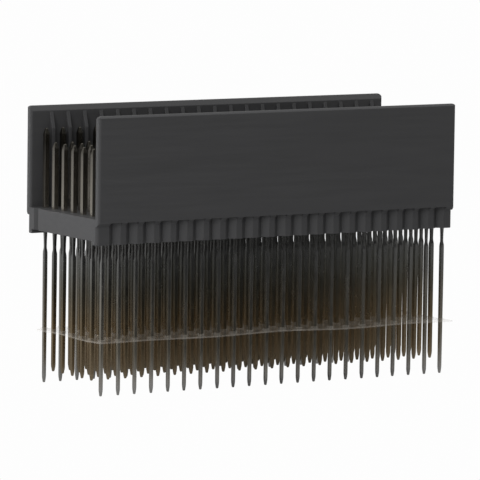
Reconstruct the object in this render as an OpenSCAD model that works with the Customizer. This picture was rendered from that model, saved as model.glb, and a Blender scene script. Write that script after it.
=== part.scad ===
// Shrouded backplane pin header: a moulded channel with open ends, square contacts pressed through its
// floor, long tails below and a thin guard film that the tails pass through.
// Z = 0 is the board surface that the housing's skirts stand on. X runs along the rows of contacts.

/* [Contact grid] */
// Distance between neighbouring contacts, along and across the rows
pitch = 2; // [1.8:0.05:2.5]
// How far the contact grid stands from the middle of the housing, towards +X
grid_shift = 0.5; // [0:0.05:0.5]

/* [Contacts] */
// Width of the square mating blades
blade_w = 0.5; // [0.4:0.02:0.6]
// Height of the signal blades above the floor
signal_reach = 7; // [5:0.1:8]
// Height of the shield blades above the floor
shield_reach = 8.35; // [6:0.05:9.5]
// Length of the tapered point on each blade
blade_point = 0.6; // [0.3:0.05:1]
// Width of the flat end of that point
blade_tip_w = 0.2; // [0.1:0.02:0.3]
// How much narrower than its tail a contact is where it leaves the housing
root_in = 0.02; // [0:0.01:0.08]
// How much narrower than its tail a contact is at its neck
neck_in = 0.1; // [0.04:0.01:0.16]
// Depth of the neck below the board surface
neck_drop = 1.2; // [0.8:0.1:2]
// Distance from the neck down to the full width of a tail
neck_run = 1; // [0.5:0.1:2]
// Width of a signal tail
signal_tail_w = 0.42; // [0.32:0.02:0.46]
// Width of a shield tail
shield_tail_w = 0.38; // [0.32:0.02:0.46]
// Length of the signal tails below the board surface
signal_tail = 14.4; // [12.5:0.1:16]
// Length of the shield tails below the board surface
shield_tail = 15.8; // [12.5:0.1:18]
// Length of the tapered point on each tail
tail_point = 0.6; // [0.4:0.1:1.5]
// Width of the flat end of that point
tail_tip_w = 0.2; // [0.12:0.02:0.28]

/* [Housing] */
// Distance from the end columns of a centred grid to the ends of the housing
end_margin = 0.95; // [0.9:0.05:1.5]
// Thickness of the floor, from the board surface up
floor_z = 2.7; // [2.4:0.1:3.5]
// Depth of the shallow channel under the floor
relief_h = 0.4; // [0.2:0.05:0.8]
// Distance from a shield row to the side of that channel
relief_margin = 0.35; // [0.34:0.01:0.4]
// Radius of the upright corners of the base
base_corner_r = 0.4; // [0.2:0.05:0.6]
// Distance from a shield row to the inner face of its wall
wall_gap = 0.75; // [0.6:0.05:1]
// Thickness of the long walls
wall_t = 0.9; // [0.75:0.05:1.4]
// Height of the walls above the floor
wall_reach = 10.65; // [10:0.05:13]
// How far the walls stand out over the long faces of the base
lip_d = 0.42; // [0.3:0.02:0.6]
// Height of the outer lower edges of the walls above the board surface
lip_z = 2.3; // [1.9:0.1:2.4]
// Height of the slope that leads from those edges in to the base
lip_slope = 0.36; // [0.2:0.02:0.6]
// Radius of the upright corners of the walls
corner_r = 0.3; // [0.2:0.05:0.35]
// Radius of the upper corners of the walls, seen from the side
top_corner_r = 0.35; // [0.2:0.05:0.6]
// Size of the bevel along the outer top edges
edge_bevel = 0.22; // [0.1:0.02:0.3]
// Depth of the lead-in along the inner top edges
lead_in_d = 0.4; // [0.2:0.05:0.45]
// Height of that lead-in
lead_in_h = 0.55; // [0.3:0.05:1]
// Clearance round each contact in the floor
seat_clear = 0.01; // [0.01:0.01:0.03]

/* [Ribs and grooves] */
// Width of the upright vee grooves in the long faces of the base
vee_w = 1.35; // [0.8:0.05:1.5]
// Depth of those grooves
vee_d = 0.55; // [0.3:0.05:0.6]
// How far the grooves stand from midway between the columns, towards -X
vee_shift = 0.25; // [0:0.05:0.4]
// Width of the guide ribs inside the walls
rib_w = 0.4; // [0.3:0.05:0.6]
// How far the guide ribs stand in from the walls
rib_d = 0.6; // [0.3:0.05:0.9]
// Distance from the lead-in down to the upper ends of the guide ribs
rib_drop = 0.1; // [0:0.05:1]
// Height of the sloped part of the guide ribs
rib_slope = 1.7; // [0.5:0.1:3]
// Width of the upright vee groove in the -X end of the base
end_groove_w = 0.95; // [0.6:0.05:1.4]
// Depth of that groove
end_groove_d = 0.4; // [0.2:0.05:0.55]
// Distance of that groove from the middle row, towards +Y
end_groove_y = 5.45; // [4:0.05:5.7]

/* [Guard film] */
// Thickness of the film
film_t = 0.15; // [0.1:0.01:0.3]
// Depth of the upper face of the film below the board surface
film_drop = 10.1; // [4:0.1:11]
// Distance from the end columns to the ends of a centred film
film_end = 0.87; // [0.6:0.05:1.2]
// How far the film stands from the middle of the contact grid, towards +X
film_shift = 0.3; // [0:0.05:0.3]
// Distance from the shield rows to the long edges of the film
film_side = 0.65; // [0.5:0.05:1]
// Clearance round each tail in the film
film_clear = 0.03; // [0.02:0.01:0.08]

/* [Hidden] */
columns = 22;
signal_rows = [-2:2];
shield_row = 3;
shield_rows = [-shield_row, shield_row];
all_rows = [-shield_row:shield_row];
// How far a cutter reaches past the face that it opens, and a rib into the wall that carries it
over = 0.1;
$fn = 48;

row_half = (columns - 1) * pitch / 2;
shield_y = shield_row * pitch;
housing_len = 2 * (row_half + end_margin);
relief_y = shield_y + relief_margin;
inner_y = shield_y + wall_gap;
outer_y = inner_y + wall_t;
base_y = outer_y - lip_d;
wall_z = floor_z + wall_reach;
slope_z = lip_z - lip_slope;

function column_x(c) = grid_shift + (c - 1) * pitch - row_half;
function between_x(c) = column_x(c) + pitch / 2;
function numbered(stem, c) = str(stem, "_", c < 10 ? "0" : "", c);
// A right-hand outline closed by its mirror image
function mirrored(half) = concat(half, [for (i = [len(half) - 1:-1:0]) [-half[i][0], half[i][1]]]);

// A Y-Z profile drawn out along X
module along_x(length) rotate([90, 0, 90]) linear_extrude(length, center = true) children();

// An X-Z profile drawn out along Y
module along_y(length) rotate([90, 0, 0]) linear_extrude(length, center = true) children();

module both_sides() {
    children();
    mirror([0, 1, 0]) children();
}

// A plan outline as long as the housing, from one Y to another, with round corners
module rounded_plan(from_y, to_y, radius) {
    x = housing_len / 2 - radius;
    hull() for (sx = [-1, 1], y = [from_y + radius, to_y - radius]) translate([sx * x, y]) circle(radius);
}

// The walls as seen from the side, with their upper corners rounded
module side_outline() {
    x = housing_len / 2 - top_corner_r;
    z = wall_z - top_corner_r;
    translate([-x, 0]) square([2 * x, wall_z]);
    translate([-housing_len / 2, 0]) square([housing_len, z]);
    for (s = [-1, 1]) translate([s * x, z]) circle(top_corner_r);
}

// The +Y wall, from the sloped lip over the base to the bevel and the lead-in at its top
module wall_profile() {
    polygon([
        [inner_y, slope_z], [base_y, slope_z], [outer_y, lip_z],
        [outer_y, wall_z - edge_bevel], [outer_y - edge_bevel, wall_z],
        [inner_y + lead_in_d, wall_z], [inner_y, wall_z - lead_in_h]
    ]);
}

module walls() {
    intersection() {
        both_sides() along_x(housing_len) wall_profile();
        both_sides() linear_extrude(wall_z) rounded_plan(inner_y, outer_y, corner_r);
        along_y(2 * outer_y) side_outline();
    }
}

// The base, with skirts on both sides of the shallow channel below it
module base_block() {
    difference() {
        linear_extrude(floor_z) rounded_plan(-base_y, base_y, base_corner_r);
        translate([0, 0, (relief_h - over) / 2])
            cube([housing_len + 2 * over, 2 * relief_y, relief_h + over], center = true);
    }
}

// The guide ribs of the +Y wall, one between each pair of columns, sloped at the top
module guide_ribs() {
    top = wall_z - lead_in_h - rib_drop;
    foot = floor_z - over;
    face = inner_y - rib_d;
    back = inner_y + over;
    for (c = [1:columns - 1]) translate([between_x(c), 0, 0]) along_x(rib_w)
        polygon([[back, foot], [face, foot], [face, top - rib_slope], [inner_y, top], [back, top]]);
}

// The vee grooves of the +Y face, which cut through the slope of the lip and end square at its outer edge
module vee_grooves() {
    deep = base_y - vee_d;
    out = outer_y + over;
    half = vee_w / 2;
    for (c = [1:columns - 1]) translate([between_x(c) - vee_shift, 0, -over]) linear_extrude(lip_z + over)
        polygon([[0, deep], [half, base_y], [half, out], [-half, out], [-half, base_y]]);
}

// The vee groove of the -X end, up through the floor
module end_groove() {
    half = end_groove_w / 2;
    translate([-housing_len / 2, end_groove_y, -over]) linear_extrude(floor_z + 2 * over)
        polygon([[end_groove_d, 0], [0, half], [-over, half], [-over, -half], [0, -half]]);
}

// Square holes for the contacts of some rows
module contact_holes(rows, width, bottom, top) {
    for (c = [1:columns], r = rows)
        translate([column_x(c), r * pitch, (bottom + top) / 2])
            cube([width, width, top - bottom], center = true);
}

module housing() {
    color("#3b3b3b") difference() {
        union() {
            base_block();
            walls();
            both_sides() guide_ribs();
        }
        both_sides() vee_grooves();
        contact_holes(all_rows, blade_w + 2 * seat_clear, relief_h - over, floor_z + over);
        end_groove();
    }
}

// Square in every section: one outline, drawn out both ways
module contact(reach, tail, tail_w) {
    outline = mirrored([
        [blade_tip_w / 2, floor_z + reach], [blade_w / 2, floor_z + reach - blade_point],
        [blade_w / 2, relief_h], [(tail_w - root_in) / 2, relief_h],
        [(tail_w - neck_in) / 2, -neck_drop], [tail_w / 2, -neck_drop - neck_run],
        [tail_w / 2, tail_point - tail], [tail_tip_w / 2, -tail]
    ]);
    intersection() {
        along_x(blade_w) polygon(outline);
        along_y(blade_w) polygon(outline);
    }
}

module signal_contacts(c) {
    color("#8a7a5c") for (r = signal_rows)
        translate([column_x(c), r * pitch, 0]) contact(signal_reach, signal_tail, signal_tail_w);
}

module shield_contacts(side) {
    color("#8f8266") for (c = [1:columns])
        translate([column_x(c), side * shield_y, 0]) contact(shield_reach, shield_tail, shield_tail_w);
}

module guard_film() {
    bottom = -film_drop - film_t;
    color("#dfe3e6") difference() {
        translate([grid_shift + film_shift, 0, bottom + film_t / 2])
            cube([2 * (row_half + film_end), 2 * (shield_y + film_side), film_t], center = true);
        contact_holes(signal_rows, signal_tail_w + 2 * film_clear, bottom - over, over - film_drop);
        contact_holes(shield_rows, shield_tail_w + 2 * film_clear, bottom - over, over - film_drop);
    }
}

housing();
shield_contacts(-1);  // shield_contacts_front
shield_contacts(1);  // shield_contacts_back
guard_film();
for (c = [1:columns]) signal_contacts(c);
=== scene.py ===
import math
import random

import bmesh
import bpy
from mathutils import Matrix, Vector


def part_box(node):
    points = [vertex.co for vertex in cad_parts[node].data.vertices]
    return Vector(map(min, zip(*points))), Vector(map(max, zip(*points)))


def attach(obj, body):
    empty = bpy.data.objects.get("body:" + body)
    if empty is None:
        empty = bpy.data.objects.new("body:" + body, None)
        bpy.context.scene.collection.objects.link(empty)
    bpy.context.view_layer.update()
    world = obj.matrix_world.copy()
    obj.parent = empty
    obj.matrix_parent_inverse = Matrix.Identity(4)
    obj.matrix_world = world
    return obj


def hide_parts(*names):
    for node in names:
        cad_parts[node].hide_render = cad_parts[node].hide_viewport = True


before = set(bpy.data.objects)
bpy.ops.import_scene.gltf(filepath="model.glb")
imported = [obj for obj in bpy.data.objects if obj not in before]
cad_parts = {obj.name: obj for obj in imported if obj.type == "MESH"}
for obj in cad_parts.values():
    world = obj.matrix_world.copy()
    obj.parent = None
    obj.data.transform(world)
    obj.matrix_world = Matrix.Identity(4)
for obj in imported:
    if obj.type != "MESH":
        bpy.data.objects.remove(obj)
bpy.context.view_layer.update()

mm = 0.001          # every size below is in millimetres, and Blender works in metres
weld = 0.001 * mm   # points closer than this are one point


def hexColour(code):
    # sRGB hex to the linear colour that the shaders take
    parts = [int(code[i:i + 2], 16) / 255 for i in (1, 3, 5)]
    linear = [p / 12.92 if p <= 0.04045 else ((p + 0.055) / 1.055) ** 2.4 for p in parts]
    return (*linear, 1.0)


def perSize(size):
    # pattern scale that gives one feature per size, in mm
    return 1 / (size * mm)


def addNode(tree, kind, settings=None, links=None):
    # settings go to the node itself or to its sockets, links join sockets of earlier nodes to it
    node = tree.nodes.new(kind)
    for key, value in (settings or {}).items():
        if isinstance(key, str) and hasattr(node, key):
            setattr(node, key, value)
        else:
            node.inputs[key].default_value = value
    for key, socket in (links or {}).items():
        tree.links.new(socket, node.inputs[key])
    return node


def setRamp(node, stops):
    # stops are (position, hex colour)
    ramp = node.color_ramp
    while len(ramp.elements) < len(stops):
        ramp.elements.new(0.5)
    for element, (position, code) in zip(ramp.elements, stops):
        element.position = position
        element.color = hexColour(code)


def newMaterial(name):
    material = bpy.data.materials.new(name)
    material.use_nodes = True
    tree = material.node_tree
    tree.nodes.clear()
    return material, tree


def addPiece(name, mesh, materials, node):
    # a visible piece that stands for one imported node
    piece = bpy.data.objects.new(name, mesh)
    bpy.context.scene.collection.objects.link(piece)
    for material in materials:
        mesh.materials.append(material)
    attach(piece, "root")
    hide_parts(node)
    return piece


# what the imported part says: the grid that the contacts stand on, and how far the nodes reach

signalNodes = sorted(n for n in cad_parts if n.startswith("signal_contacts_"))
shieldNodes = ["shield_contacts_front", "shield_contacts_back"]


def columnAt(node):
    low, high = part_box(node)
    return (low.x + high.x) / 2 / mm


columnX = [columnAt(n) for n in signalNodes]
pitch = (columnX[-1] - columnX[0]) / (len(columnX) - 1)
signalRows = [r * pitch for r in range(-2, 3)]  # five rows about the middle
shieldRows = [-3 * pitch, 3 * pitch]            # and one more on each side
signalLow, signalHigh = [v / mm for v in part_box(signalNodes[0])]
shieldLow, shieldHigh = [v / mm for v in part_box(shieldNodes[0])]
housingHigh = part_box("housing")[1] / mm
filmLow, filmHigh = [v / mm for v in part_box("guard_film")]
print("frame loaded:", len(columnX), "columns at", round(pitch, 3), "mm")


housing = {
    "skin": (0.32, "#3c3c3d"),       # resin-rich skin, and how far it reaches into the streaks
    "streak": (0.72, "#3f3f40"),     # glass fibre close to the surface
    "roughness": (0.46, 0.6),        # of the skin, then of the streaks
    "streakSize": (9.0, 0.9, 0.45),  # length along the flow, then across it
    "grainSize": 0.16,               # sandy grain of the mould's surface
    "grainHeight": 0.006,
    "sinkSize": 5.0,                 # shallow waves where the resin shrank
    "sinkHeight": 0.01,
    "roundEdge": 0.05,               # edge radius of the mould
    "roundSteps": 2,
    "sharpFrom": 30,                 # degrees between two faces that count as an edge
    "seatReach": 0.3,                # edges this close to a contact stay sharp
    "seatZone": (-1, 3),             # between these heights
    "lipZone": (1.85, 2.0),          # where the lip's underside meets the base's round corners
    "lipEnd": 0.6,
}


def mouldedLcp():
    # Glass-filled liquid crystal polymer, injection moulded: matt charcoal with faint flow streaks
    # along the part and a fine sandy grain that breaks up the highlights
    material, tree = newMaterial("glass filled LCP, moulded")
    place = addNode(tree, "ShaderNodeTexCoord").outputs["Object"]
    flow = addNode(tree, "ShaderNodeMapping",
                   {"Scale": [perSize(s) for s in housing["streakSize"]]}, {"Vector": place})
    streaks = addNode(tree, "ShaderNodeTexNoise",
                      {"Scale": 1.0, "Detail": 4.0, "Roughness": 0.6, "Distortion": 0.4},
                      {"Vector": flow.outputs[0]}).outputs["Fac"]
    colour = addNode(tree, "ShaderNodeValToRGB", links={"Fac": streaks})
    setRamp(colour, [housing["skin"], housing["streak"]])
    smooth, rougher = housing["roughness"]
    rough = addNode(tree, "ShaderNodeMapRange",
                    {"From Min": 0.3, "From Max": 0.7, "To Min": smooth, "To Max": rougher},
                    {"Value": streaks})
    # grit of about 0.02 mm on the tool, drawn coarser so that it still shows at this distance
    grain = addNode(tree, "ShaderNodeTexNoise",
                    {"Scale": perSize(housing["grainSize"]), "Detail": 3.0, "Roughness": 0.7},
                    {"Vector": place}).outputs["Fac"]
    sink = addNode(tree, "ShaderNodeTexNoise",
                   {"Scale": perSize(housing["sinkSize"]), "Detail": 1.0},
                   {"Vector": place}).outputs["Fac"]
    waves = addNode(tree, "ShaderNodeBump",
                    {"Strength": 0.5, "Distance": housing["sinkHeight"] * mm}, {"Height": sink})
    bumps = addNode(tree, "ShaderNodeBump",
                    {"Strength": 0.8, "Distance": housing["grainHeight"] * mm},
                    {"Height": grain, "Normal": waves.outputs[0]})
    shader = addNode(tree, "ShaderNodeBsdfPrincipled", {"IOR": 1.55},
                     {"Base Color": colour.outputs[0], "Roughness": rough.outputs[0],
                      "Normal": bumps.outputs[0]})
    addNode(tree, "ShaderNodeOutputMaterial", links={"Surface": shader.outputs[0]})
    return material


def besideContact(point):
    low, high = housing["seatZone"]
    if not low <= point.z / mm <= high:
        return False
    fromColumn = abs(point.x / mm - columnX[0]) % pitch
    fromRow = abs(point.y / mm) % pitch
    reach = housing["seatReach"]
    return min(fromColumn, pitch - fromColumn) < reach and min(fromRow, pitch - fromRow) < reach


def inLipCorner(point):
    low, high = housing["lipZone"]
    return low < point.z / mm < high and abs(point.x / mm) > housingHigh.x - housing["lipEnd"]


def buildHousing():
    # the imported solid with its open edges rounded, as a mould leaves them
    shape = bmesh.new()
    shape.from_mesh(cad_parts["housing"].data)
    bmesh.ops.remove_doubles(shape, verts=shape.verts, dist=weld)
    sharp = math.radians(housing["sharpFrom"])
    edges = []
    for edge in shape.edges:
        if not edge.is_manifold or edge.calc_face_angle() < sharp:
            continue
        if any(besideContact(v.co) or inLipCorner(v.co) for v in edge.verts):
            continue
        edges.append(edge)
    bmesh.ops.bevel(shape, geom=edges, offset=housing["roundEdge"] * mm, offset_type="OFFSET",
                    segments=housing["roundSteps"], profile=0.5, affect="EDGES",
                    clamp_overlap=False)
    bmesh.ops.dissolve_degenerate(shape, edges=shape.edges, dist=weld / 2)
    # a mitre may stand out by some hundredths where two edges meet, so it goes back into the box
    low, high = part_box("housing")
    for vert in shape.verts:
        vert.co = [min(max(c, a), b) for c, a, b in zip(vert.co, low, high)]
    mesh = bpy.data.meshes.new("mouldedHousing")
    shape.to_mesh(mesh)
    shape.free()
    addPiece("mouldedHousing", mesh, [mouldedLcp()], "housing")
    print("housing:", len(mesh.polygons), "faces,", len(edges), "edges rounded")


buildHousing()


contacts = {
    # (height, colour) up the wire: pale gold on the signal tails, nickel grey in and below the
    # housing, and a taupe palladium nickel on the blades. Painted into these steps as well: a
    # darker band just under the housing as painted shade, paler tail ends as a painted reflection
    # of the floor, and blades painted lighter near the floor and darker towards their points as
    # painted reflection and shade
    "signalPlatingAndShade": [
        (-15.3, "#dccdb1"), (-13.6, "#b4a082"), (-9.5, "#a28e6e"), (-6.0, "#878172"),
        (-3.6, "#969690"), (-2.2, "#9e9e9c"), (-0.8, "#7e7e7c"), (1.4, "#a2a2a0"),
        (2.4, "#c9c3b7"), (6.5, "#b0aa9f"), (8.8, "#969189"), (9.4, "#78746b"),
    ],
    # the shield tails are tinned, which is paler and has less of the warm tint
    # with the same painted shade under the housing and towards the blade points, and painted
    # reflection at the tail ends and low on the blades
    "shieldPlatingAndShade": [
        (-15.3, "#e8e6e1"), (-14.2, "#d8d3c9"), (-11.5, "#b9b2a2"), (-6.0, "#afaa9f"),
        (-3.6, "#a8a8a4"), (-2.2, "#ababa9"), (-0.8, "#90908e"), (1.4, "#a2a2a0"),
        (2.4, "#c9c3b7"), (6.5, "#b0aa9f"), (8.8, "#969189"), (9.4, "#78746b"),
    ],
    "metallic": (0.97, 0.98),       # tails, then blades: a satin plating scatters some light
    "metallicZone": (0, 3),         # heights between which the one turns into the other
    "roughness": (0.16, 0.28),
    "lineSize": (0.12, 0.12, 8.0),  # drawing lines, fine across the wire and long along it
    "lineHeight": 0.001,
    "lineShade": (0.72, 1.08),      # how much they darken and lighten the plating
    "spotSize": 1.3,                # uneven spots where the plating changes
    "spotShift": 0.02,              # how far they move the change, as a share of the height
    "bladeWidth": signalHigh.x - signalLow.x,
    "bladePoint": 0.6,              # length of the coined point
    "bladeTip": 0.2,                # its width at the end
    "bladeEase": (0.08, 0.012),     # where it begins, eased along the wire and across it
    "tipRound": 0.05,
    "tipCurve": (0.3, 0.5, 1.6),    # shares of it: a step down, how much narrower there, and on top
    "bladeFoot": 3.2,               # just above the floor
    "seatZ": 0.4,                   # underside of the floor, where the wide part ends
    "seatEase": (0.03, 0.04),       # its lower edge, eased in the same way
    "rootFlare": 0.46,              # width under the wide part
    "rootRun": (0.08, 0.22),        # from there down to half of the flare, and to its end
    "rootLeft": 0.015,              # what is left of the flare at its end
    "rootIn": 0.06,                 # how much narrower than its tail the wire is at its root
    "neckIn": 0.13,                 # and at its neck
    "neckHollow": 0.012,            # hollow between the two
    "neckZ": -1.35,
    "tailZ": -2.2,                  # full width of the tail from here down
    "tailRun": 0.25,                # soft start and end of the run from the neck to the tail
    "tailEase": (0.012, 0.014),     # wider than the neck, narrower than the tail
    "signalTail": 0.42,
    "shieldTail": 0.38,
    "thinFrom": -5,                 # the wire grows thinner again from here to its end
    "thinner": 0.05,
    "tailPoint": 0.6,
    "tailTip": 0.2,
    "pointEase": 0.1,               # along the wire, at both ends of the tail's point
    "noseLength": 0.03,             # rounding at the very end
    "noseIn": (0.01, 0.08),         # how much narrower it starts and ends
    "wireCorner": 0.025,            # corner radius of the drawn wire
    "cornerMost": 0.35,             # but at most this share of the width
    "cornerSteps": 2,
    "lean": 0.035,                  # how far a tail's end may stand off its grid point
    "seed": 7,
}


def platedContact(name, platingAndShade):
    # Phosphor bronze wire, drawn and plated: soft metallic glint with fine lines along the wire,
    # taupe on the blades, grey by the housing, and pale gold or tin at the end of the tails; the
    # colour up the wire also carries painted shade under the housing and at the blade points, and
    # painted reflection at the tail ends and low on the blades
    material, tree = newMaterial(name)
    place = addNode(tree, "ShaderNodeTexCoord").outputs["Object"]
    height = addNode(tree, "ShaderNodeSeparateXYZ", links={"Vector": place}).outputs["Z"]
    lowest, highest = shieldLow.z, shieldHigh.z
    zone = addNode(tree, "ShaderNodeMapRange",
                   {"From Min": lowest * mm, "From Max": highest * mm}, {"Value": height})
    spots = addNode(tree, "ShaderNodeTexNoise",
                    {"Scale": perSize(contacts["spotSize"]), "Detail": 3.0},
                    {"Vector": place}).outputs["Fac"]
    shift = addNode(tree, "ShaderNodeMapRange",
                    {"To Min": -contacts["spotShift"], "To Max": contacts["spotShift"]},
                    {"Value": spots})
    zoneEdge = addNode(tree, "ShaderNodeMath", {"operation": "ADD"},
                       {0: zone.outputs[0], 1: shift.outputs[0]})
    # plating colour by height, with its painted shade and painted reflection
    colour = addNode(tree, "ShaderNodeValToRGB", links={"Fac": zoneEdge.outputs[0]})
    setRamp(colour, [((z - lowest) / (highest - lowest), code) for z, code in platingAndShade])
    # drawing lines of a few hundredths, drawn coarser so that they show as a faint brushed look
    along = addNode(tree, "ShaderNodeMapping",
                    {"Scale": [perSize(s) for s in contacts["lineSize"]]}, {"Vector": place})
    lines = addNode(tree, "ShaderNodeTexNoise", {"Scale": 1.0, "Detail": 2.0, "Roughness": 0.5},
                    {"Vector": along.outputs[0]}).outputs["Fac"]
    darker, lighter = contacts["lineShade"]
    shade = addNode(tree, "ShaderNodeMapRange",
                    {"From Min": 0.25, "From Max": 0.75, "To Min": darker, "To Max": lighter},
                    {"Value": lines})
    tint = addNode(tree, "ShaderNodeVectorMath", {"operation": "SCALE"},
                   {0: colour.outputs[0], "Scale": shade.outputs[0]})
    smooth, rougher = contacts["roughness"]
    rough = addNode(tree, "ShaderNodeMapRange",
                    {"From Min": 0.3, "From Max": 0.7, "To Min": smooth, "To Max": rougher},
                    {"Value": spots})
    bumps = addNode(tree, "ShaderNodeBump",
                    {"Strength": 0.6, "Distance": contacts["lineHeight"] * mm}, {"Height": lines})
    tailMetal, bladeMetal = contacts["metallic"]
    low, high = contacts["metallicZone"]
    bright = addNode(tree, "ShaderNodeMapRange",
                     {"From Min": low * mm, "From Max": high * mm, "To Min": tailMetal,
                      "To Max": bladeMetal}, {"Value": height})
    shader = addNode(tree, "ShaderNodeBsdfPrincipled",
                     links={"Base Color": tint.outputs[0], "Metallic": bright.outputs[0],
                            "Roughness": rough.outputs[0], "Normal": bumps.outputs[0]})
    addNode(tree, "ShaderNodeOutputMaterial", links={"Surface": shader.outputs[0]})
    return material


def contactStations(top, bottom, tail):
    # (height, width) from the point of the blade to the end of the tail
    c = contacts
    wide, tip, tipRound = c["bladeWidth"], c["bladeTip"], c["tipRound"]
    tipStep, tipIn, tipMost = [share * tipRound for share in c["tipCurve"]]
    pointSlope = (wide - tip) / c["bladePoint"]
    shoulder = top - c["bladePoint"]
    easeAlong, easeAcross = c["bladeEase"]
    seat, seatAlong, seatAcross = c["seatZ"], *c["seatEase"]
    root, neck, end = tail - c["rootIn"], tail - c["neckIn"], tail - c["thinner"]
    halfFlare, wholeFlare = c["rootRun"]
    pastNeck, beforeTail = c["tailEase"]
    tailSlope = (end - c["tailTip"]) / c["tailPoint"]
    taper, ease = bottom + c["tailPoint"], c["pointEase"]
    noseStart, noseEnd = c["noseIn"]
    return [
        # round tip, point and blade
        (top, tip - tipMost), (top - tipStep, tip - tipIn),
        (top - tipRound, tip + pointSlope * tipRound),
        (shoulder + easeAlong, wide - pointSlope * easeAlong), (shoulder, wide - easeAcross),
        (shoulder - easeAlong, wide), (c["bladeFoot"], wide),
        # seat in the floor
        (seat + seatAlong, wide), (seat, wide - seatAcross), (seat, c["rootFlare"]),
        # root and neck
        (seat - halfFlare, (c["rootFlare"] + root) / 2), (seat - wholeFlare, root + c["rootLeft"]),
        (0, root), (c["neckZ"] / 2, (root + neck) / 2 - c["neckHollow"]), (c["neckZ"], neck),
        # tail
        (c["neckZ"] - c["tailRun"], neck + pastNeck),
        (c["tailZ"] + c["tailRun"], tail - beforeTail), (c["tailZ"], tail), (c["thinFrom"], tail),
        # its point and round end
        (taper + ease, end), (taper - ease, end - tailSlope * ease),
        (bottom + ease, c["tailTip"] + tailSlope * ease),
        (bottom + c["noseLength"], c["tailTip"] - noseStart), (bottom, c["tailTip"] - noseEnd),
    ]


def squareRing(width):
    # a square with round corners
    radius = min(contacts["wireCorner"], contacts["cornerMost"] * width)
    steps = contacts["cornerSteps"]
    inset = width / 2 - radius
    points = []
    for quarter in range(4):
        turn = math.radians(90 * quarter)
        cx = inset * (math.cos(turn) - math.sin(turn))
        cy = inset * (math.cos(turn) + math.sin(turn))
        for step in range(steps + 1):
            a = turn + math.radians(90 * step / steps)
            points.append((cx + radius * math.cos(a), cy + radius * math.sin(a)))
    return points


def addContact(verts, faces, x, y, stations, lean):
    start = len(verts)
    bottom = stations[-1][0]
    for z, width in stations:
        # the lean grows with the square of the depth, as in a wire that was bent by handling
        sag = (min(z, 0) / bottom) ** 2
        verts += [((x + px + lean[0] * sag) * mm, (y + py + lean[1] * sag) * mm, z * mm)
                  for px, py in squareRing(width)]
    count = 4 * (contacts["cornerSteps"] + 1)
    for k in range(len(stations) - 1):
        a, b = start + k * count, start + (k + 1) * count
        faces += [(a + i, b + i, b + (i + 1) % count, a + (i + 1) % count) for i in range(count)]
    last = start + (len(stations) - 1) * count
    faces.append([start + i for i in range(count)])
    faces.append([last + i for i in reversed(range(count))])


def buildContacts(node, places, top, bottom, tail, metal):
    verts, faces = [], []
    stations = contactStations(top, bottom, tail)
    reach = contacts["lean"]
    for x, y in places:
        lean = (chance.uniform(-reach, reach), chance.uniform(-reach, reach))
        addContact(verts, faces, x, y, stations, lean)
    mesh = bpy.data.meshes.new(node + "Drawn")
    mesh.from_pydata(verts, [], faces)
    addPiece(node + "Drawn", mesh, [metal], node)


signalMetal = platedContact("gold plated phosphor bronze, drawn", contacts["signalPlatingAndShade"])
shieldMetal = platedContact("tinned phosphor bronze, drawn", contacts["shieldPlatingAndShade"])
chance = random.Random(contacts["seed"])
for node, x in zip(signalNodes, columnX):
    buildContacts(node, [(x, y) for y in signalRows], signalHigh.z, signalLow.z,
                  contacts["signalTail"], signalMetal)
for node, y in zip(shieldNodes, shieldRows):
    buildContacts(node, [(x, y) for x in columnX], shieldHigh.z, shieldLow.z,
                  contacts["shieldTail"], shieldMetal)
print("contacts:", len(columnX) * (len(signalRows) + len(shieldRows)), "drawn")


film = {
    "sheet": "#c9c4bc",
    "cut": "#cfc8be",
    "clear": 0.05,               # how much of the light the sheet stops when seen square on
    "grazing": 0.1,              # and when seen along it
    "cutDensity": 0.15,          # and at its cut edge
    "patchy": (0.7, 1.3),        # how far all three vary
    "hazeSize": 2.2,
    "burrSize": 0.5,             # torn bits along the cut
    "roughness": (0.16, 0.36),   # of the sheet
    "cutRoughness": 0.6,
    "rippleHeight": 0.02,
    "edgeIn": 0.005,             # the cut edge leans a little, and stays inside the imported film
    "holeClear": 0.02,           # round each tail
    "collarFoot": 1.1,           # width of the raised ring that each tail pushes up
    "collarSide": (0.2, 0.35),   # on its side: wider than the top, and share of the height
    "collarTop": (0.08, 0.8),    # at its top: wider than the hole, and share of the height
    "collarHeight": 0.25,
    "sidePoints": 4,             # points along each side of a cell
    "wave": 0.05,                # slow waviness of the sheet
    "waveLength": 15,            # along it
    "crossWave": (23, 9),        # and of a second one, along and across
}


def clearFilm():
    # Polyester film, calendered: nearly clear, with a faint milky haze and a sheen that grows as it
    # is seen edge on
    material, tree = newMaterial("polyester film, clear")
    place = addNode(tree, "ShaderNodeTexCoord").outputs["Object"]
    haze = addNode(tree, "ShaderNodeTexNoise", {"Scale": perSize(film["hazeSize"]), "Detail": 3.0},
                   {"Vector": place}).outputs["Fac"]
    edgeOn = addNode(tree, "ShaderNodeLayerWeight", {"Blend": 0.5}).outputs["Facing"]
    density = addNode(tree, "ShaderNodeMapRange",
                      {"To Min": film["clear"], "To Max": film["grazing"]}, {"Value": edgeOn})
    least, most = film["patchy"]
    patchy = addNode(tree, "ShaderNodeMapRange", {"To Min": least, "To Max": most},
                     {"Value": haze})
    alpha = addNode(tree, "ShaderNodeMath", {"operation": "MULTIPLY"},
                    {0: density.outputs[0], 1: patchy.outputs[0]})
    smooth, rougher = film["roughness"]
    rough = addNode(tree, "ShaderNodeMapRange", {"To Min": smooth, "To Max": rougher},
                    {"Value": haze})
    bumps = addNode(tree, "ShaderNodeBump",
                    {"Strength": 0.4, "Distance": film["rippleHeight"] * mm}, {"Height": haze})
    shader = addNode(tree, "ShaderNodeBsdfPrincipled",
                     {"Base Color": hexColour(film["sheet"]), "IOR": 1.57},
                     {"Roughness": rough.outputs[0], "Alpha": alpha.outputs[0],
                      "Normal": bumps.outputs[0]})
    addNode(tree, "ShaderNodeOutputMaterial", links={"Surface": shader.outputs[0]})
    return material


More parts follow.
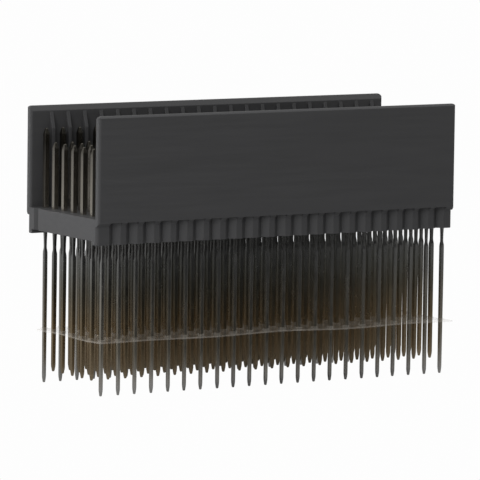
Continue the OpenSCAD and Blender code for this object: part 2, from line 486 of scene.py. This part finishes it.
def cutFilmEdge():
    # The same film where the die cut it: frosted, so that the edge catches the light as a thin
    # pale line
    material, tree = newMaterial("polyester film, die cut edge")
    place = addNode(tree, "ShaderNodeTexCoord").outputs["Object"]
    burr = addNode(tree, "ShaderNodeTexNoise", {"Scale": perSize(film["burrSize"]), "Detail": 4.0},
                   {"Vector": place}).outputs["Fac"]
    least, most = [film["cutDensity"] * share for share in film["patchy"]]
    alpha = addNode(tree, "ShaderNodeMapRange",
                    {"From Min": 0.3, "From Max": 0.7, "To Min": least, "To Max": most},
                    {"Value": burr})
    bumps = addNode(tree, "ShaderNodeBump",
                    {"Strength": 0.5, "Distance": film["rippleHeight"] * mm}, {"Height": burr})
    shader = addNode(tree, "ShaderNodeBsdfPrincipled",
                     {"Base Color": hexColour(film["cut"]), "Roughness": film["cutRoughness"],
                      "IOR": 1.57},
                     {"Alpha": alpha.outputs[0], "Normal": bumps.outputs[0]})
    addNode(tree, "ShaderNodeOutputMaterial", links={"Surface": shader.outputs[0]})
    return material


def filmLift(x, y):
    # how far the sheet stands off its level
    along, across = film["crossWave"]
    return film["wave"] * (math.sin(2 * math.pi * x / film["waveLength"] + 1)
                           + math.sin(2 * math.pi * (x / along + y / across)))


def cellPoint(k, low, high):
    # the k-th point of a rectangle, counted round from its low corner
    side, step = divmod(k, film["sidePoints"])
    t = step / film["sidePoints"]
    corners = [(low[0], low[1]), (high[0], low[1]), (high[0], high[1]), (low[0], high[1])]
    a, b = corners[side], corners[(side + 1) % 4]
    return a[0] + (b[0] - a[0]) * t, a[1] + (b[1] - a[1]) * t


def collarRings(hole):
    # (width, rise) from the foot of the ring round a tail up to the hole
    topWider, topShare = film["collarTop"]
    sideWider, sideShare = film["collarSide"]
    top, height = hole + topWider, film["collarHeight"]
    return [(film["collarFoot"], 0), (top + sideWider, height * sideShare),
            (top, height * topShare), (hole, height)]


def buildFilm():
    # one thin sheet, pushed up over the tails
    level = (filmHigh.z + filmLow.z) / 2
    rows = [shieldRows[0]] + signalRows + [shieldRows[1]]
    firstX, lastX = filmLow.x + film["edgeIn"], filmHigh.x - film["edgeIn"]
    xLines = [firstX] + [x + pitch / 2 for x in columnX[:-1]] + [lastX]
    yLines = [filmLow.y] + [y + pitch / 2 for y in rows[:-1]] + [filmHigh.y]
    count = 4 * film["sidePoints"]
    shape = bmesh.new()
    for i, x in enumerate(columnX):
        for j, y in enumerate(rows):
            tail = contacts["shieldTail"] if y in shieldRows else contacts["signalTail"]
            collar = collarRings(tail + 2 * film["holeClear"])
            top = collar[-2][0]
            rings = []
            for width, rise in [(None, 0)] + collar:
                if width is None:  # the cell's own outline, shared with its neighbours
                    low, high = (xLines[i], yLines[j]), (xLines[i + 1], yLines[j + 1])
                else:
                    low, high = (x - width / 2, y - width / 2), (x + width / 2, y + width / 2)
                ring = []
                for k in range(count):
                    px, py = cellPoint(k, low, high)
                    if width is not None and width > top:
                        # the rings turn round as they leave the square wire
                        away = Vector((px - x, py - y))
                        away = away.normalized() * (0.5 * away.length + 0.25 * width)
                        px, py = x + away.x, y + away.y
                    z = level + filmLift(px, py) + rise
                    ring.append(shape.verts.new((px * mm, py * mm, z * mm)))
                rings.append(ring)
            for outer, inner in zip(rings, rings[1:]):
                for k in range(count):
                    nextK = (k + 1) % count
                    shape.faces.new((outer[k], outer[nextK], inner[nextK], inner[k]))
    bmesh.ops.remove_doubles(shape, verts=shape.verts, dist=weld)
    mesh = bpy.data.meshes.new("guardFilm")
    shape.to_mesh(mesh)
    shape.free()
    for face in mesh.polygons:
        face.use_smooth = True
    piece = addPiece("guardFilm", mesh, [clearFilm(), cutFilmEdge()], "guard_film")
    solid = piece.modifiers.new("thickness", "SOLIDIFY")
    solid.thickness = (filmHigh.z - filmLow.z) * mm
    solid.offset = 0
    solid.material_offset_rim = 1
    print("film:", len(mesh.polygons), "faces")


buildFilm()


sweep = {
    "size": 6000,
    "seen": "#ffffff",        # plain and pale as the camera sees it
    "seenStrength": 0.985,
    "bounce": 0.66,           # the light that it sends back up to the part
    "shine": 0.015,           # the same sweep as it shows in the metal, at its darkest
    # painted brighter slopes in the reflections, kept dark under the part as a painted shadow:
    # direction, from and to in mm, how much
    "paintedSlopes": [
        ((-0.53, 0.85, 0), -10, 60, 0.325),
        ((0.85, 0.52, 0), 4, 18, 0.12),
        ((0.85, 0.52, 0), 12, 17, 0.1),
    ],
    # and painted pools of light: middle, how the patch is squeezed, reach in mm, how much
    "paintedPatches": [
        ((-60, -40, 0), (1, 1, 0), 65, 0.7),
        ((5, -16, 0), (0.35, 1, 0), 12, 0.2),
    ],
}


def paperSweep():
    # Matt paper sweep drawn as glowing surfaces: plain and pale for the camera, an even glow as
    # bounce light, and quiet in the reflections apart from painted brighter slopes, painted pools
    # of light and a painted shadow under the part
    material, tree = newMaterial("matt paper sweep")
    path = addNode(tree, "ShaderNodeLightPath")
    place = addNode(tree, "ShaderNodeTexCoord").outputs["Object"]
    glows = []
    # painted brighter slopes and pools of light in the glow that the metal reflects
    for direction, low, high, share in sweep["paintedSlopes"]:
        across = addNode(tree, "ShaderNodeVectorMath",
                         {"operation": "DOT_PRODUCT", 1: direction}, {0: place})
        glows.append(addNode(tree, "ShaderNodeMapRange",
                             {"From Min": low * mm, "From Max": high * mm, "To Max": share},
                             {"Value": across.outputs["Value"]}))
    for middle, squeeze, reach, share in sweep["paintedPatches"]:
        aside = addNode(tree, "ShaderNodeVectorMath",
                        {"operation": "SUBTRACT", 1: [v * mm for v in middle]}, {0: place})
        squeezed = addNode(tree, "ShaderNodeVectorMath",
                           {"operation": "MULTIPLY", 1: squeeze}, {0: aside.outputs[0]})
        away = addNode(tree, "ShaderNodeVectorMath", {"operation": "LENGTH"},
                       {0: squeezed.outputs[0]})
        glows.append(addNode(tree, "ShaderNodeMapRange",
                             {"From Min": reach * mm, "From Max": 0, "To Max": share},
                             {"Value": away.outputs["Value"]}))
    total = glows[0]
    for glow in glows[1:]:
        total = addNode(tree, "ShaderNodeMath", {"operation": "ADD"},
                        {0: total.outputs[0], 1: glow.outputs[0]})
    total = addNode(tree, "ShaderNodeMath", {"operation": "ADD", 1: sweep["shine"]},
                    {0: total.outputs[0]})
    shine = addNode(tree, "ShaderNodeEmission", links={"Strength": total.outputs[0]})
    lit = addNode(tree, "ShaderNodeEmission", {"Strength": sweep["bounce"]})
    bounce = addNode(tree, "ShaderNodeMixShader",
                     links={0: path.outputs["Is Glossy Ray"], 1: lit.outputs[0],
                            2: shine.outputs[0]})
    pale = addNode(tree, "ShaderNodeEmission",
                   {"Color": hexColour(sweep["seen"]), "Strength": sweep["seenStrength"]})
    mixed = addNode(tree, "ShaderNodeMixShader",
                    links={0: path.outputs["Is Camera Ray"], 1: bounce.outputs[0],
                           2: pale.outputs[0]})
    addNode(tree, "ShaderNodeOutputMaterial", links={"Surface": mixed.outputs[0]})
    return material


def buildFloor():
    half = sweep["size"] / 2 * mm
    mesh = bpy.data.meshes.new("paperSweep")
    corners = [(-half, -half, 0), (half, -half, 0), (half, half, 0), (-half, half, 0)]
    mesh.from_pydata(corners, [], [(0, 1, 2, 3)])
    mesh.materials.append(paperSweep())
    floor = bpy.data.objects.new("paperSweep", mesh)
    floor.location.z = shieldLow.z * mm
    bpy.context.scene.collection.objects.link(floor)


softboxes = {
    # place in mm, size in mm, power in W
    "softboxBack": {"place": (-650, 800, 330), "size": 700, "power": 13},
    "softboxCamera": {"place": (-235, -175, 100), "size": 210, "power": 0.5},
    "softboxEnd": {"place": (750, 160, 200), "size": 450, "power": 6},
}

room = {
    "overhead": 1.0,           # light of the pale ceiling
    "backdrop": 0.34,          # light of the pale walls at the back and sides
    "front": 0.05,             # light of the dim front
    "backFrom": (-0.8, 0.1),   # where the front turns into the back, along Y of the direction
    "aboveFrom": (0.4, 0.9),   # and where the walls turn into the ceiling, along Z
}


def buildLights():
    for name, light in softboxes.items():
        data = bpy.data.lights.new(name, "AREA")
        data.shape = "SQUARE"
        data.size = light["size"] * mm
        data.energy = light["power"]
        lamp = bpy.data.objects.new(name, data)
        lamp.location = Vector(light["place"]) * mm
        lamp.rotation_euler = (-lamp.location).to_track_quat("-Z", "Y").to_euler()
        lamp.visible_glossy = False  # the metal shows the sweep and the room, without hard glints
        bpy.context.scene.collection.objects.link(lamp)


def buildRoom():
    world = bpy.data.worlds.new("room")
    world.use_nodes = True
    tree = world.node_tree
    tree.nodes.clear()
    white = hexColour("#ffffff")
    cameraSees = addNode(tree, "ShaderNodeLightPath").outputs["Is Camera Ray"]
    towards = addNode(tree, "ShaderNodeTexCoord").outputs["Generated"]
    axes = addNode(tree, "ShaderNodeSeparateXYZ", links={"Vector": towards}).outputs
    start, end = room["backFrom"]
    behind = addNode(tree, "ShaderNodeMapRange", {"From Min": start, "From Max": end},
                     {"Value": axes["Y"]}).outputs[0]
    start, end = room["aboveFrom"]
    above = addNode(tree, "ShaderNodeMapRange", {"From Min": start, "From Max": end},
                    {"Value": axes["Z"]}).outputs[0]
    front, back, top, pale = [
        addNode(tree, "ShaderNodeBackground", {"Color": white, "Strength": strength})
        for strength in (room["front"], room["backdrop"], room["overhead"], sweep["seenStrength"])
    ]
    walls = addNode(tree, "ShaderNodeMixShader",
                    links={0: behind, 1: front.outputs[0], 2: back.outputs[0]})
    dim = addNode(tree, "ShaderNodeMixShader",
                  links={0: above, 1: walls.outputs[0], 2: top.outputs[0]})
    mixed = addNode(tree, "ShaderNodeMixShader",
                    links={0: cameraSees, 1: dim.outputs[0], 2: pale.outputs[0]})
    addNode(tree, "ShaderNodeOutputWorld", links={"Surface": mixed.outputs[0]})
    bpy.context.scene.world = world


viewpoint = {
    "place": (-281.970, -458.380, 57.016),
    "yaw": 31.579,    # degrees turned to the right of +Y
    "pitch": 6.160,   # looking down
    "roll": 0.790,
    "lens": 382.77,
    "sensor": 36,
    "clip": (10, 20000),
}


def buildCamera():
    data = bpy.data.cameras.new("viewpoint")
    data.lens = viewpoint["lens"]
    data.sensor_width = viewpoint["sensor"]
    data.sensor_fit = "HORIZONTAL"
    data.clip_start, data.clip_end = [v * mm for v in viewpoint["clip"]]
    camera = bpy.data.objects.new("viewpoint", data)
    turn = Matrix.Rotation(math.radians(-viewpoint["yaw"]), 4, "Z")
    tilt = Matrix.Rotation(math.radians(90 - viewpoint["pitch"]), 4, "X")
    roll = Matrix.Rotation(math.radians(viewpoint["roll"]), 4, "Z")
    place = Matrix.Translation(Vector(viewpoint["place"]) * mm)
    camera.matrix_world = place @ turn @ tilt @ roll
    bpy.context.scene.collection.objects.link(camera)
    bpy.context.scene.camera = camera


buildFloor()
buildLights()
buildRoom()
buildCamera()
bpy.context.scene.view_settings.view_transform = "Standard"
print("floor, light and camera set")
